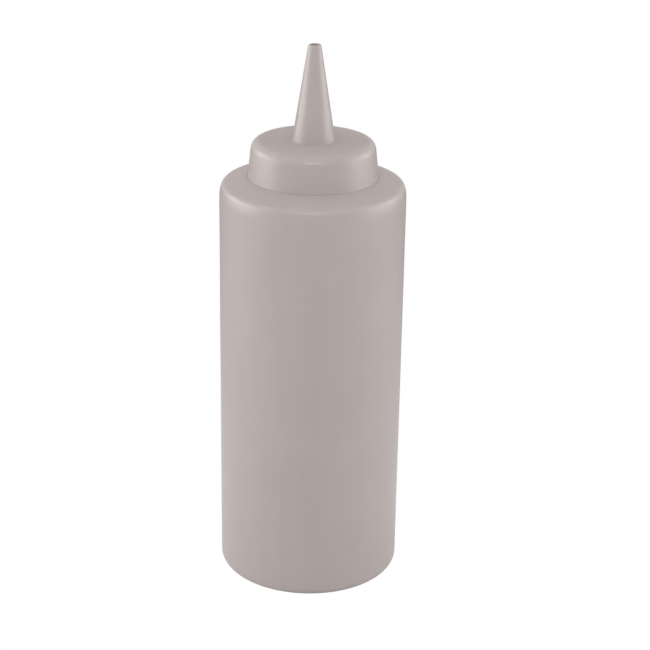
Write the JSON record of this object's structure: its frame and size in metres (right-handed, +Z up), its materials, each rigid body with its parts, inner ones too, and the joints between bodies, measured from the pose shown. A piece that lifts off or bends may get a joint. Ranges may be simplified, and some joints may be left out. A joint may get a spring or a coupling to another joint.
{
  "type": "condiment squeeze bottle",
  "caption": "Round soft-walled squeeze bottle with a rounded shoulder, a threaded neck, and a smooth screw cap that carries a long open cone nozzle.",
  "frame": {"origin": "centre of the foot, on the plane that the bottle stands on", "axes": "+Z up along the axis of the body, neck and nozzle; +Y away from the viewer of the picture, +X to the viewer's right"},
  "size_m": [0.0636, 0.0634, 0.1899],
  "materials": {
    "bottle_plastic": "satin",
    "cap_plastic": "satin",
    "washer_rubber": "matte"
  },
  "bodies": {
    "bottle": {"bottle": "bottle_plastic"},
    "washer": {"seal_washer": "washer_rubber"},
    "cap": {"cap": "cap_plastic"}
  },
  "joints": [
    {"name": "cap_lift", "type": "slide", "parent": "bottle", "child": "washer", "axis": [0, 0, 1], "range_m": [0, 0.01482]},
    {"name": "cap_turn", "type": "hinge", "parent": "washer", "child": "cap", "pos_m": [0, 0, 0.152], "axis": [0, 0, 1], "range_deg": [0, 1260]}
  ],
  "couplings": [
    {"joint": "cap_turn", "follows": "cap_lift", "rad_per_m": 1484.2}
  ]
}
